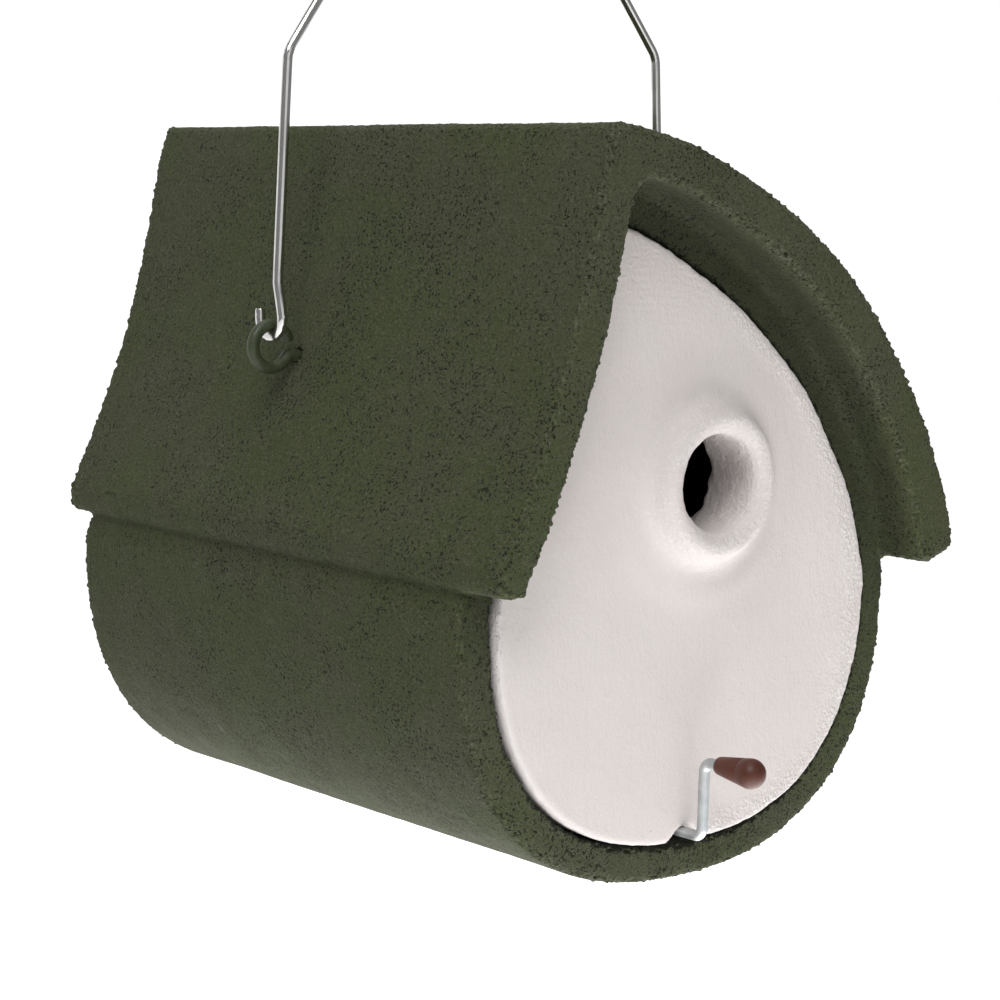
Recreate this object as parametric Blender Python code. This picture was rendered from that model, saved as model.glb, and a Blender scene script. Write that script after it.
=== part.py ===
"""Hanging nest box for small hole-nesting birds.

One casting carries the roof and the round-bottomed barrel.  Its profile is
drawn once, across the box, and runs straight from front to back.  The ridge
lies well to the left of the barrel's axis: the left slope is steep and flares
at the eave, the right slope is one broad convex arc.

A thick front panel with a funnel entrance stands in a seat of the casting and
is held by a wire crank at its foot.  The box hangs by two wire eyes from a
bent wire hanger.

Heights are drawn from the ridge down and depths from the front of the roof
back.  The finished model has its origin under the top of the hanger.
X is across, -Y is the front, +Z is up.
"""

import math

import bmesh
import bpy
import numpy as np
from mathutils import Vector

# Sizes, in metres

# Casting, across and down
BOX_HEIGHT = 0.2456
BARREL_HALF_WIDTH = 0.0951
BARREL_SHOULDER_DROP = 0.1500
BARREL_FULLNESS = 2.4

RIDGE_X = -0.0518
RIDGE_RADIUS = 0.0042
LEFT_EAVE_X = -0.0955
LEFT_EAVE_DROP = 0.1335
RIGHT_START_X = -0.0455
RIGHT_EAVE_X = 0.1069
RIGHT_EAVE_DROP = 0.1345

ROOF_THICKNESS = 0.0135
LEFT_EAVE_THICKNESS = 0.0125
RIGHT_EAVE_THICKNESS = 0.0170
LEFT_LIP_HEIGHT = 0.0050
EAVE_OUTER_RADIUS = 0.0042
RIGHT_EAVE_RADIUS = 0.0060
EAVE_INNER_RADIUS = 0.0034
ROOF_LAP = 0.0045
INNER_APEX_REACH = 0.0066

# Casting, front to back
ROOF_LENGTH = 0.2535
FRONT_OVERHANG = 0.0201
BACK_OVERHANG = 0.0096
ROOF_ARRIS = 0.0022
BARREL_ARRIS = 0.0030
COVE_RADIUS = 0.0046
COVE_BURY = 0.0015
COVE_DIP = 0.00045

# Inside of the casting
PANEL_THICKNESS = 0.0165
PANEL_PROUD = 0.0023
SEAT_GAP = 0.0010
TOUCH_GAP = 0.0003
BACK_WALL = 0.0405
CAVITY_FLOOR_RADIUS = 0.0160
CAVITY_CENTRE_DROP = 0.1180

# Front panel and entrance
PANEL_HALF_WIDTH = 0.0820
PANEL_FOOT_RIM = 0.0128
PANEL_ARRIS = 0.0016
HOLE_X = 0.0042
HOLE_DROP = 0.1136
HOLE_RADIUS = 0.0160
DISC_RADIUS = 0.0404
DISC_RISE = 0.0009
BOSS_FOOT_RADIUS = 0.0292
BOSS_LIP_RADIUS = 0.0248
BOSS_RISE = 0.0102
FUNNEL_RADIUS = 0.0058
BORE_BACK_RADIUS = 0.0030
NOTCH_HALF_WIDTH = 0.0105
NOTCH_HEIGHT = 0.0068
NOTCH_FULLNESS = 0.8

# Latch
LATCH_X = 0.0
LATCH_RISE = 0.0033
LATCH_WIRE = 0.0036
LATCH_ARM = 0.0252
LATCH_STANDOFF = 0.0083
LATCH_BEND = 0.0034
LATCH_REACH = 0.0108
LATCH_EMBED = 0.0180
SLEEVE_OUTER = 0.0070
SLEEVE_LENGTH = 0.0225
SLEEVE_WALL = 0.0016
KNOB_LENGTH = 0.0194
KNOB_SMALL = 0.0060
KNOB_LARGE = 0.0100
KNOB_START = 0.0067

# Eyes
EYE_DEPTH = 0.1393
EYE_WIRE = 0.0042
EYE_RING = 0.00725
EYE_BEND = 0.0026
EYE_DROP = 0.0753
LEFT_EYE_X = -0.0838
RIGHT_EYE_X = 0.0904
EYE_EMBED = 0.0115
EYE_END_GAP_DEG = 31

# Hanger
HANGER_WIRE = 0.0035
HANGER_TOP = 0.1300
HANGER_TOP_RADIUS = 0.0120
HANGER_LEFT_BEND_X = -0.0812
HANGER_LEFT_BEND_RISE = 0.0230
HANGER_RIGHT_BEND_X = 0.0852
HANGER_RIGHT_BEND_RISE = 0.0300
HANGER_BEND_RADIUS = 0.0100
HOOK_RADIUS = 0.0066
HOOK_TAIL = 0.0028
HOOK_LEAN_DEG = 15
LEG_KINK_RISE = 0.0185
LEG_KINK_RADIUS = 0.0060
LEG_DEPTH = 0.0036

# Shares of the left slope: out of the run to the eave, and of the drop to it
LEFT_SLOPE_SHARES = (
    (0.032, 0.060),
    (0.092, 0.150),
    (0.183, 0.292),
    (0.299, 0.442),
    (0.443, 0.592),
    (0.606, 0.731),
    (0.800, 0.876),
    (0.920, 0.951),
    (1.000, 1.000),
)

# Shares of the right slope, read the same way
RIGHT_SLOPE_SHARES = (
    (0.000, 0.006),
    (0.051, 0.016),
    (0.184, 0.052),
    (0.352, 0.134),
    (0.469, 0.206),
    (0.551, 0.268),
    (0.644, 0.352),
    (0.721, 0.443),
    (0.787, 0.534),
    (0.844, 0.622),
    (0.915, 0.757),
    (0.954, 0.851),
    (0.986, 0.944),
    (1.000, 1.000),
)

# Shares of the panel's half width and of the shoulder's drop, from the left
# shoulder over the tip to the right shoulder
PANEL_TOP_SHARES = (
    (-0.985, 0.960),
    (-0.900, 0.887),
    (-0.826, 0.793),
    (-0.758, 0.707),
    (-0.690, 0.613),
    (-0.635, 0.520),
    (-0.592, 0.427),
    (-0.549, 0.340),
    (-0.510, 0.263),
    (-0.470, 0.217),
    (-0.400, 0.208),
    (-0.333, 0.221),
    (-0.197, 0.252),
    (-0.067, 0.288),
    (0.100, 0.340),
    (0.255, 0.393),
    (0.414, 0.464),
    (0.545, 0.530),
    (0.665, 0.603),
    (0.769, 0.691),
    (0.857, 0.767),
    (0.908, 0.829),
    (0.967, 0.924),
)

# Shares of the panel's outline that the nest room keeps, in front and at its back
CAVITY_FRONT_SHARE = 0.920
CAVITY_BACK_SHARE = 0.780

# Fineness: how many steps or sides a line or a round is made with
SPLINE_STEPS = 16
LEFT_STEPS = 22
RIGHT_STEPS = 34
RIDGE_STEPS = 3
RIDGE_STEP_DEG = 26
APEX_STEPS = 6
JOIN_SKIP = 3
BARREL_STEPS = 44
PANEL_TOP_STEPS = 56
PANEL_FOOT_STEPS = 32
PANEL_STEPS = 96
CAVITY_STEPS = 64
ARC_STEPS = 3
FLOOR_STEPS = 4
COVE_STEPS = 5
BOSS_FOOT_STEPS = 5
BOSS_LIP_STEPS = 4
FUNNEL_STEPS = 5
NOTCH_STEPS = 16
KNOB_NOSE_STEPS = 6
EYE_BEND_STEPS = 4
EYE_RING_STEPS = 30
HOOK_STEPS = 12
CRANK_STEP_DEG = 18
HANGER_STEP_DEG = 10
BOSS_SIDES = 40
SLEEVE_SIDES = 24
KNOB_SIDES = 24
HOLE_SIDES = 20
WIRE_SIDES = 10
SHARP_ANGLE_DEG = 35

# Finishes: base colour, roughness and metallic value
CAST_GREEN = ((0.115, 0.125, 0.095), 0.95, 0.0)
PANEL_WHITE = ((0.800, 0.760, 0.735), 0.85, 0.0)
EYE_GREEN = ((0.060, 0.150, 0.085), 0.45, 0.0)
STEEL = ((0.620, 0.620, 0.640), 0.25, 1.0)
ZINC = ((0.560, 0.575, 0.585), 0.35, 0.9)
KNOB_BROWN = ((0.130, 0.050, 0.035), 0.50, 0.0)
SLEEVE_GREY = ((0.160, 0.160, 0.160), 0.60, 0.0)

ORIGIN = Vector((0.0, EYE_DEPTH, HANGER_TOP))
FRONT = Vector((0.0, -1.0, 0.0))
BACK = Vector((0.0, 1.0, 0.0))

# Levels that follow from the sizes
PANEL_DROP = BOX_HEIGHT - PANEL_FOOT_RIM
LATCH_DROP = PANEL_DROP - LATCH_RISE
RIM_DEPTH = FRONT_OVERHANG
PANEL_DEPTH = RIM_DEPTH - PANEL_PROUD
LEDGE_DEPTH = PANEL_DEPTH + PANEL_THICKNESS + TOUCH_GAP
BARREL_BACK = ROOF_LENGTH - BACK_OVERHANG
CAVITY_BACK = BARREL_BACK - BACK_WALL
SWING_DROP = EYE_DROP - EYE_RING


# Plane curves

def smooth(points, steps):
    """A Catmull-Rom curve through the points, as evenly spaced points."""
    pts = [np.array(p, float) for p in points]
    pts = [2 * pts[0] - pts[1]] + pts + [2 * pts[-1] - pts[-2]]
    dense = []
    for i in range(1, len(pts) - 2):
        p0, p1, p2, p3 = pts[i - 1:i + 3]
        for k in range(SPLINE_STEPS):
            t = k / SPLINE_STEPS
            dense.append(0.5 * (2 * p1 + (p2 - p0) * t
                                + (2 * p0 - 5 * p1 + 4 * p2 - p3) * t * t
                                + (3 * p1 - p0 - 3 * p2 + p3) * t ** 3))
    dense.append(pts[-2])
    return even(dense, steps)


def even(points, steps):
    """The same line with steps equal lengths."""
    pts = np.array(points, float)
    lengths = np.linalg.norm(np.diff(pts, axis=0), axis=1)
    run = np.concatenate([[0.0], np.cumsum(lengths)])
    want = np.linspace(0.0, run[-1], steps + 1)
    return np.stack([np.interp(want, run, pts[:, k]) for k in range(2)], axis=1)


def unit(rows):
    """The same directions with length 1."""
    return rows / np.linalg.norm(rows, axis=1)[:, None]


def normals(points, closed=False):
    """Unit normals on the left of the direction of travel."""
    pts = np.array(points, float)
    ahead = np.roll(pts, -1, axis=0)
    behind = np.roll(pts, 1, axis=0)
    if not closed:
        ahead[-1] = 2 * pts[-1] - pts[-2]
        behind[0] = 2 * pts[0] - pts[1]
    along = unit(unit(ahead - pts) + unit(pts - behind))
    return np.stack([-along[:, 1], along[:, 0]], axis=1)


def area(loop):
    """Signed area, positive when the loop runs anticlockwise."""
    pts = np.array(loop, float)
    after = np.roll(pts, -1, axis=0)
    return 0.5 * float(np.sum(pts[:, 0] * after[:, 1] - after[:, 0] * pts[:, 1]))


def grow(loop, amount):
    """A closed loop moved outward by amount, inward if it is negative."""
    side = -1.0 if area(loop) > 0 else 1.0
    return np.array(loop) + normals(loop, closed=True) * (amount * side)


def cross_at(a, b):
    """Where two lines first cross: a segment of each and the point."""
    for i in range(len(a) - 1):
        for j in range(len(b) - 1):
            p, r = a[i], a[i + 1] - a[i]
            q, s = b[j], b[j + 1] - b[j]
            det = r[0] * s[1] - r[1] * s[0]
            if det == 0:
                continue
            t = ((q - p)[0] * s[1] - (q - p)[1] * s[0]) / det
            u = ((q - p)[0] * r[1] - (q - p)[1] * r[0]) / det
            if 0 <= t <= 1 and 0 <= u <= 1:
                return i, j, p + r * t
    return None


def quarter(centre, radius, start, end, steps=ARC_STEPS):
    """Points of a quarter turn from direction start to end, without the first."""
    out = []
    for turn in np.linspace(0.0, math.pi / 2, steps + 1)[1:]:
        out.append(centre + radius * (start * math.cos(turn) + end * math.sin(turn)))
    return out


def arc(radius, start_deg, end_deg, steps, centre=(0.0, 0.0)):
    """Points (radius, along) of an arc for a turned profile."""
    out = []
    for turn in np.radians(np.linspace(start_deg, end_deg, steps + 1)):
        out.append((centre[0] + radius * math.cos(turn), centre[1] + radius * math.sin(turn)))
    return out


# The roof's section

def left_slope():
    """Outer face of the left slope, ridge to eave."""
    top = RIDGE_X - RIDGE_RADIUS
    pts = [(top, -RIDGE_RADIUS)]
    for out, down in LEFT_SLOPE_SHARES:
        pts.append((top + out * (LEFT_EAVE_X - top), -down * LEFT_EAVE_DROP))
    return smooth(pts, LEFT_STEPS)


def right_slope():
    """Outer face of the right slope, ridge to eave."""
    run = RIGHT_EAVE_X - RIGHT_START_X
    pts = []
    for out, down in RIGHT_SLOPE_SHARES:
        pts.append((RIGHT_START_X + out * run, -down * RIGHT_EAVE_DROP))
    return smooth(pts, RIGHT_STEPS)


def ridge_round():
    """The rounded ridge, between the tops of the two slopes."""
    out = []
    for k in range(1, RIDGE_STEPS + 1):
        turn = math.pi - math.radians(RIDGE_STEP_DEG * k)
        out.append((RIDGE_X + RIDGE_RADIUS * math.cos(turn), RIDGE_RADIUS * (math.sin(turn) - 1)))
    return out


def inner_faces():
    """Inner faces of the slopes, from the line where they meet to the eaves."""
    left = left_slope()
    right = right_slope()
    left_depth = np.linspace(ROOF_THICKNESS, LEFT_EAVE_THICKNESS, len(left))
    right_depth = np.linspace(ROOF_THICKNESS, RIGHT_EAVE_THICKNESS, len(right))
    left = left + normals(left) * left_depth[:, None]
    right = right - normals(right) * right_depth[:, None]
    i, j, meet = cross_at(left, right)
    left = even(np.vstack([[meet], left[i + 2:]]), LEFT_STEPS)
    right = even(np.vstack([[meet], right[j + 2:]]), RIGHT_STEPS)
    return left, right


def over_apex(left, right):
    """One line from the left eave over the rounded apex to the right eave."""
    keep_left = [p for p in left if np.linalg.norm(p - left[0]) > INNER_APEX_REACH]
    keep_right = [p for p in right if np.linalg.norm(p - right[0]) > INNER_APEX_REACH]
    a, b, meet = keep_left[0], keep_right[0], left[0]
    bend = []
    for k in range(1, APEX_STEPS):
        t = k / APEX_STEPS
        bend.append(a * (1 - t) ** 2 + meet * 2 * t * (1 - t) + b * t * t)
    return np.vstack([keep_left[::-1], bend, keep_right])


def left_eave(outer, inner):
    """The left eave: a short upright lip with a level underside."""
    down = np.array((0.0, -1.0))
    inward = np.array((1.0, 0.0))
    foot = outer + down * LEFT_LIP_HEIGHT
    level = foot[1] - EAVE_OUTER_RADIUS
    corner = np.array((inner[0] - EAVE_INNER_RADIUS, level))
    end = [foot]
    end += quarter(foot + inward * EAVE_OUTER_RADIUS, EAVE_OUTER_RADIUS, -inward, down)
    end += [corner]
    end += quarter(corner - down * EAVE_INNER_RADIUS, EAVE_INNER_RADIUS, down, inward)
    return end


def right_eave(line):
    """The right eave, cut square to the slope."""
    down = line[-1] - line[-3]
    down = down / np.linalg.norm(down)
    inward = np.array((down[1], -down[0]))
    outer = line[-1] + inward * RIGHT_EAVE_RADIUS
    inner = (line[-1] + inward * (RIGHT_EAVE_THICKNESS - EAVE_INNER_RADIUS)
             + down * (RIGHT_EAVE_RADIUS - EAVE_INNER_RADIUS))
    end = quarter(outer, RIGHT_EAVE_RADIUS, -inward, down, ARC_STEPS + 1)
    end += [inner + down * EAVE_INNER_RADIUS]
    end += quarter(inner, EAVE_INNER_RADIUS, down, inward)
    return end


def roof_loop():
    """The roof's section: a band of casting, open below, with rounded eaves."""
    left = left_slope()
    right = right_slope()
    inner_left, inner_right = inner_faces()
    under = over_apex(inner_left, inner_right)
    loop = list(left[::-1]) + ridge_round() + list(right) + right_eave(right)
    loop += list(under[::-1]) + left_eave(left[-1], inner_left[-1])[::-1]
    return np.array(loop)


# The barrel's and the panel's sections

def belly(half_width, height, steps):
    """The full round bottom, from the right shoulder down and up to the left one."""
    power = 2.0 / BARREL_FULLNESS
    out = []
    for turn in np.linspace(0.0, math.pi, steps + 1):
        c = math.cos(turn)
        s = math.sin(turn)
        x = half_width * math.copysign(abs(c) ** power, c)
        out.append((x, -BARREL_SHOULDER_DROP - height * abs(s) ** power))
    return even(out, steps)


def lapped_faces():
    """The inner faces of the roof, moved up into its thickness."""
    left, right = inner_faces()
    left = left - normals(left) * ROOF_LAP
    right = right + normals(right) * ROOF_LAP
    hit = cross_at(left, right)
    if hit:
        i, j, meet = hit
        return np.vstack([[meet], left[i + 1:]]), np.vstack([[meet], right[j + 1:]])
    peak = inner_faces()[0][0] + np.array((0.0, ROOF_LAP))
    return np.vstack([[peak], left]), np.vstack([[peak], right])


def barrel_loop():
    """The barrel's section: its top runs inside the thickness of the roof."""
    bottom = belly(BARREL_HALF_WIDTH, BOX_HEIGHT - BARREL_SHOULDER_DROP, BARREL_STEPS)
    top = over_apex(*lapped_faces())[JOIN_SKIP:-JOIN_SKIP]
    top = even(np.vstack([bottom[-1:], top, bottom[:1]]), LEFT_STEPS + RIGHT_STEPS)
    return np.vstack([top[1:-1], bottom])


def panel_loop():
    """The front panel's section."""
    pts = [(x * PANEL_HALF_WIDTH, -z * BARREL_SHOULDER_DROP) for x, z in PANEL_TOP_SHARES]
    bottom = belly(PANEL_HALF_WIDTH, PANEL_DROP - BARREL_SHOULDER_DROP, PANEL_FOOT_STEPS)
    top = smooth([bottom[-1]] + pts + [bottom[0]], PANEL_TOP_STEPS)
    ring = np.vstack([top, bottom[1:-1], top[:1]])
    return even(ring, PANEL_STEPS)[:-1]


def notch_loop():
    """The notch in the panel's foot: a round top that eases out into the edge."""
    pts = []
    for k in range(NOTCH_STEPS + 1):
        across = 1 - 2 * k / NOTCH_STEPS
        swell = (0.5 + 0.5 * math.cos(math.pi * across)) ** NOTCH_FULLNESS
        drop = PANEL_DROP + SEAT_GAP - swell * NOTCH_HEIGHT
        pts.append((LATCH_X + across * NOTCH_HALF_WIDTH, -drop))
    pts.append((LATCH_X - NOTCH_HALF_WIDTH, -PANEL_DROP - NOTCH_HEIGHT))
    pts.append((LATCH_X + NOTCH_HALF_WIDTH, -PANEL_DROP - NOTCH_HEIGHT))
    return np.array(pts)


# Solids

def spot(x, y, z):
    """A point given across, back from the roof's front and up from the ridge."""
    return Vector((x, y, z)) - ORIGIN


def link_rings(bm, rings):
    """Faces between neighbouring rings of equal length, and over both ends."""
    for a, b in zip(rings, rings[1:]):
        n = len(a)
        for k in range(n):
            m = (k + 1) % n
            bm.faces.new((a[k], a[m], b[m], b[k]))
    bm.faces.new(rings[0][::-1])
    bm.faces.new(rings[-1])


def loft(sections):
    """A closed solid through loops of equal length, each at its own depth."""
    bm = bmesh.new()
    link_rings(bm, [[bm.verts.new(spot(x, y, z)) for x, z in loop] for y, loop in sections])
    return bm


def slab(loop, front, back, arris=0.0):
    """A loop carried from front to back, with its two ends' arrises rounded."""
    rim = [(0.0, np.array(loop))]
    if arris:
        rim = []
        for turn in np.linspace(0.0, math.pi / 2, ARC_STEPS + 1):
            ring = grow(loop, -arris * (1 - math.cos(turn)))
            rim.append((arris * (1 - math.sin(turn)), ring))
    near = [(front + y, ring) for y, ring in rim[::-1]]
    return loft(near + [(back - y, ring) for y, ring in rim])


def nest_room(panel):
    """The hollow of the casting: it draws in toward its rounded back."""
    centre = np.array((0.0, -CAVITY_CENTRE_DROP))
    ring = even(np.vstack([panel, panel[:1]]), CAVITY_STEPS)[:-1]
    straight = CAVITY_BACK - CAVITY_FLOOR_RADIUS
    draw = (CAVITY_BACK_SHARE - CAVITY_FRONT_SHARE) / (CAVITY_BACK - PANEL_DEPTH)
    sections = [(PANEL_DEPTH, centre + (ring - centre) * CAVITY_FRONT_SHARE)]
    for turn in np.linspace(0.0, math.pi / 2, FLOOR_STEPS + 1):
        at = straight + CAVITY_FLOOR_RADIUS * math.sin(turn)
        share = CAVITY_FRONT_SHARE + draw * (at - PANEL_DEPTH)
        share *= 1 - CAVITY_FLOOR_RADIUS * (1 - math.cos(turn)) / PANEL_HALF_WIDTH
        sections.append((at, centre + (ring - centre) * share))
    return loft(sections)


def cove(wall, face, toward):
    """A concave fillet between the roof's inner wall and the barrel's end face."""
    row = [(-COVE_BURY, -toward * COVE_BURY), (-COVE_BURY, toward * COVE_RADIUS),
           (-COVE_DIP, toward * COVE_RADIUS)]
    for turn in np.linspace(0.0, math.pi / 2, COVE_STEPS + 1)[1:-1]:
        row.append((COVE_RADIUS * (1 - math.cos(turn)),
                    toward * COVE_RADIUS * (1 - math.sin(turn))))
    row += [(COVE_RADIUS, -toward * COVE_DIP), (COVE_RADIUS, -toward * COVE_BURY)]
    bm = bmesh.new()
    rows = []
    for p, n in zip(wall, -normals(wall)):
        rows.append([bm.verts.new(spot(p[0] + n[0] * u, face + v, p[1] + n[1] * u))
                     for u, v in row])
    link_rings(bm, rows)
    return bm


def turned(profile, centre, axis, sides):
    """A closed solid of revolution: its profile is a closed line of (radius, along)."""
    side = axis.orthogonal().normalized()
    other = axis.cross(side)
    bm = bmesh.new()
    rings = []
    for radius, along in profile:
        count = sides if radius else 1
        ring = []
        for k in range(count):
            turn = 2 * math.pi * k / sides
            out = side * math.cos(turn) + other * math.sin(turn)
            ring.append(bm.verts.new(centre + axis * along + out * radius))
        rings.append(ring)
    for a, b in zip(rings, rings[1:] + rings[:1]):
        if len(a) == 1 and len(b) == 1:
            continue
        for k in range(sides):
            m = (k + 1) % sides
            if len(a) == 1:
                bm.faces.new((a[0], b[m], b[k]))
            elif len(b) == 1:
                bm.faces.new((a[k], a[m], b[0]))
            else:
                bm.faces.new((a[k], a[m], b[m], b[k]))
    return bm


def round_bend(before, here, after, radius, step_deg):
    """Points of the bend of a line at one of its corners."""
    a = (before - here).normalized()
    b = (after - here).normalized()
    half = a.angle(b) / 2
    reach = radius / math.tan(half)
    centre = here + (a + b).normalized() * (radius / math.sin(half))
    start = here + a * reach - centre
    end = here + b * reach - centre
    sweep = start.angle(end)
    count = max(2, math.ceil(math.degrees(sweep) / step_deg))
    out = []
    for k in range(count + 1):
        t = k / count
        out.append(centre + (start * math.sin(sweep * (1 - t))
                             + end * math.sin(sweep * t)) / math.sin(sweep))
    return out


def bent(points, radii, step_deg):
    """A line of straight runs with a round bend at each inner point."""
    pts = [Vector(p) for p in points]
    line = [pts[0]]
    for before, here, after, radius in zip(pts, pts[1:], pts[2:], radii):
        line += round_bend(before, here, after, radius, step_deg)
    return line + [pts[-1]]


def wire(line, diameter):
    """A round wire along a line, with flat ends."""
    steps = [(b - a).normalized() for a, b in zip(line, line[1:])]
    tangents = [(a + b).normalized() for a, b in zip(steps[:1] + steps, steps + steps[-1:])]
    side = tangents[0].orthogonal().normalized()
    bm = bmesh.new()
    rings = []
    for p, t in zip(line, tangents):
        side = (side - t * side.dot(t)).normalized()
        other = t.cross(side)
        ring = []
        for k in range(WIRE_SIDES):
            turn = 2 * math.pi * (k + 0.5) / WIRE_SIDES
            out = side * math.cos(turn) + other * math.sin(turn)
            ring.append(bm.verts.new(p + out * diameter / 2))
        rings.append(ring)
    link_rings(bm, rings)
    return bm


# Objects

def finish(name, colour, roughness, metallic):
    """A plain material."""
    material = bpy.data.materials.new(name)
    material.use_nodes = True
    shader = material.node_tree.nodes["Principled BSDF"]
    shader.inputs["Base Color"].default_value = (*colour, 1.0)
    shader.inputs["Roughness"].default_value = roughness
    shader.inputs["Metallic"].default_value = metallic
    material.diffuse_color = (*colour, 1.0)
    return material


def new_object(name, bm, pivot):
    """An object of the mesh, with its origin at pivot."""
    bmesh.ops.recalc_face_normals(bm, faces=bm.faces)
    bmesh.ops.translate(bm, verts=bm.verts, vec=-pivot)
    mesh = bpy.data.meshes.new(name)
    bm.to_mesh(mesh)
    bm.free()
    obj = bpy.data.objects.new(name, mesh)
    bpy.context.scene.collection.objects.link(obj)
    obj.location = pivot
    return obj


def piece(name, bm, pivot, look):
    """One piece of the box, with its own material."""
    obj = new_object(name, bm, pivot)
    obj.data.materials.append(finish(name, *look))
    obj.data.shade_smooth()
    obj.data.set_sharp_from_angle(angle=math.radians(SHARP_ANGLE_DEG))
    return obj


def axis_empty(name, location):
    """An empty that stands on a joint's axis."""
    empty = bpy.data.objects.new(name, None)
    bpy.context.scene.collection.objects.link(empty)
    empty.location = location
    return empty


def attach(child, parent):
    """Parents an object and leaves it where it is."""
    at = child.location.copy()
    child.parent = parent
    above = parent
    while above:
        at -= above.location
        above = above.parent
    child.location = at


def combine(target, name, bm, operation):
    """Adds an exact Boolean with a hidden solid, which isn't a piece."""
    tool = new_object(name, bm, Vector((0.0, 0.0, 0.0)))
    tool.hide_render = True
    tool.display_type = "WIRE"
    tool.hide_set(True)
    step = target.modifiers.new(name, "BOOLEAN")
    step.operation = operation
    step.solver = "EXACT"
    step.object = tool


# The pieces

def casting(pivot):
    """Roof and barrel in one, hollow, with a seat for the panel."""
    body = piece("nest_box_body", slab(roof_loop(), 0.0, ROOF_LENGTH, ROOF_ARRIS), pivot, CAST_GREEN)
    barrel = slab(barrel_loop(), RIM_DEPTH, BARREL_BACK, BARREL_ARRIS)
    combine(body, "barrel_form", barrel, "UNION")

    wall = even(over_apex(*inner_faces())[1:-1], LEFT_STEPS + RIGHT_STEPS)
    combine(body, "front_cove_form", cove(wall, RIM_DEPTH, -1), "UNION")
    combine(body, "back_cove_form", cove(wall, BARREL_BACK, 1), "UNION")

    panel = panel_loop()
    combine(body, "cavity_cutter", nest_room(panel), "DIFFERENCE")
    seat = slab(grow(panel, SEAT_GAP), RIM_DEPTH - COVE_RADIUS - SEAT_GAP, LEDGE_DEPTH)
    combine(body, "seat_cutter", seat, "DIFFERENCE")
    return body


def into_roof(line, side):
    """The direction square into a slope at the eyes' height."""
    k = int(np.argmin(np.abs(line[:, 1] + EYE_DROP)))
    out = normals(line)[k] * side
    return -Vector((out[0], 0.0, out[1]))


def eye_line(centre, into):
    """The bent line of an eye: a shank square to the roof and a nearly closed ring."""
    across = Vector((into.z, 0.0, -into.x))
    lift = math.sqrt((EYE_RING + EYE_BEND) ** 2 - EYE_BEND ** 2)
    meet = math.degrees(math.asin(EYE_BEND / (EYE_RING + EYE_BEND)))
    knee = centre + into * lift + across * EYE_BEND
    line = [centre + into * (lift + EYE_EMBED)]
    for turn in np.radians(np.linspace(0.0, 90 - meet, EYE_BEND_STEPS + 1)):
        line.append(knee - (across * math.cos(turn) + into * math.sin(turn)) * EYE_BEND)
    ring = np.linspace(meet, 360 - EYE_END_GAP_DEG, EYE_RING_STEPS + 1)[1:]
    for turn in np.radians(ring):
        line.append(centre + (into * math.cos(turn) + across * math.sin(turn)) * EYE_RING)
    return line


def eye(side_name, body, centre_x, into, pivot):
    """A wire eye and its hole in the roof."""
    centre = spot(centre_x, EYE_DEPTH, -EYE_DROP)
    line = eye_line(centre, into)
    start = centre + into * (EYE_RING + EYE_BEND)
    deep = (line[0] - start).length + TOUCH_GAP
    radius = EYE_WIRE / 2 + TOUCH_GAP
    hole = turned([(0, 0), (radius, 0), (radius, deep), (0, deep)], start, into, HOLE_SIDES)
    combine(body, side_name + "_eye_hole_cutter", hole, "DIFFERENCE")
    return piece(side_name + "_eye", wire(line, EYE_WIRE), pivot, EYE_GREEN)


def sleeve(body, at):
    """The plastic dowel that the crank turns in, closed at its far end, and its hole."""
    radius = SLEEVE_OUTER / 2 + TOUCH_GAP
    deep = SLEEVE_LENGTH + 2 * TOUCH_GAP
    hole = [(0, -SEAT_GAP), (radius, -SEAT_GAP), (radius, deep), (0, deep)]
    combine(body, "sleeve_hole_cutter", turned(hole, at, BACK, SLEEVE_SIDES), "DIFFERENCE")
    bore = LATCH_WIRE / 2 + TOUCH_GAP
    outer = SLEEVE_OUTER / 2
    far = TOUCH_GAP + SLEEVE_LENGTH
    profile = [(bore, TOUCH_GAP), (outer, TOUCH_GAP), (outer, far), (0, far),
               (0, far - SLEEVE_WALL), (bore, far - SLEEVE_WALL)]
    return piece("latch_sleeve", turned(profile, at, BACK, SLEEVE_SIDES), at, SLEEVE_GREY)


def boss_profile():
    """A low round pad, and on it the boss that swells to the funnel's rolled lip."""
    sunk = -PANEL_THICKNESS / 2
    roll = BOSS_LIP_RADIUS - HOLE_RADIUS - FUNNEL_RADIUS
    foot = BOSS_FOOT_RADIUS - BOSS_LIP_RADIUS + FUNNEL_RADIUS / 2
    profile = [(0, sunk), (DISC_RADIUS, sunk), (DISC_RADIUS, 0), (DISC_RADIUS - DISC_RISE, DISC_RISE)]
    for r, a in arc(foot, 90, 0, BOSS_FOOT_STEPS):
        profile.append((BOSS_LIP_RADIUS + foot - r, DISC_RISE + foot - a))
    profile += arc(roll, 0, 90, BOSS_LIP_STEPS, (BOSS_LIP_RADIUS - roll, BOSS_RISE - roll))
    return profile + [(0, BOSS_RISE)]


def funnel_profile():
    """The entrance: a rolled mouth, a straight bore and an eased edge inside."""
    mouth = HOLE_RADIUS + FUNNEL_RADIUS
    inside = HOLE_RADIUS + BORE_BACK_RADIUS
    back = -PANEL_THICKNESS
    profile = [(0, BOSS_RISE + SEAT_GAP), (mouth, BOSS_RISE + SEAT_GAP)]
    profile += arc(FUNNEL_RADIUS, 90, 180, FUNNEL_STEPS, (mouth, BOSS_RISE - FUNNEL_RADIUS))
    profile += arc(BORE_BACK_RADIUS, 180, 270, ARC_STEPS, (inside, back + BORE_BACK_RADIUS))
    return profile + [(inside, back - SEAT_GAP), (0, back - SEAT_GAP)]


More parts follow.
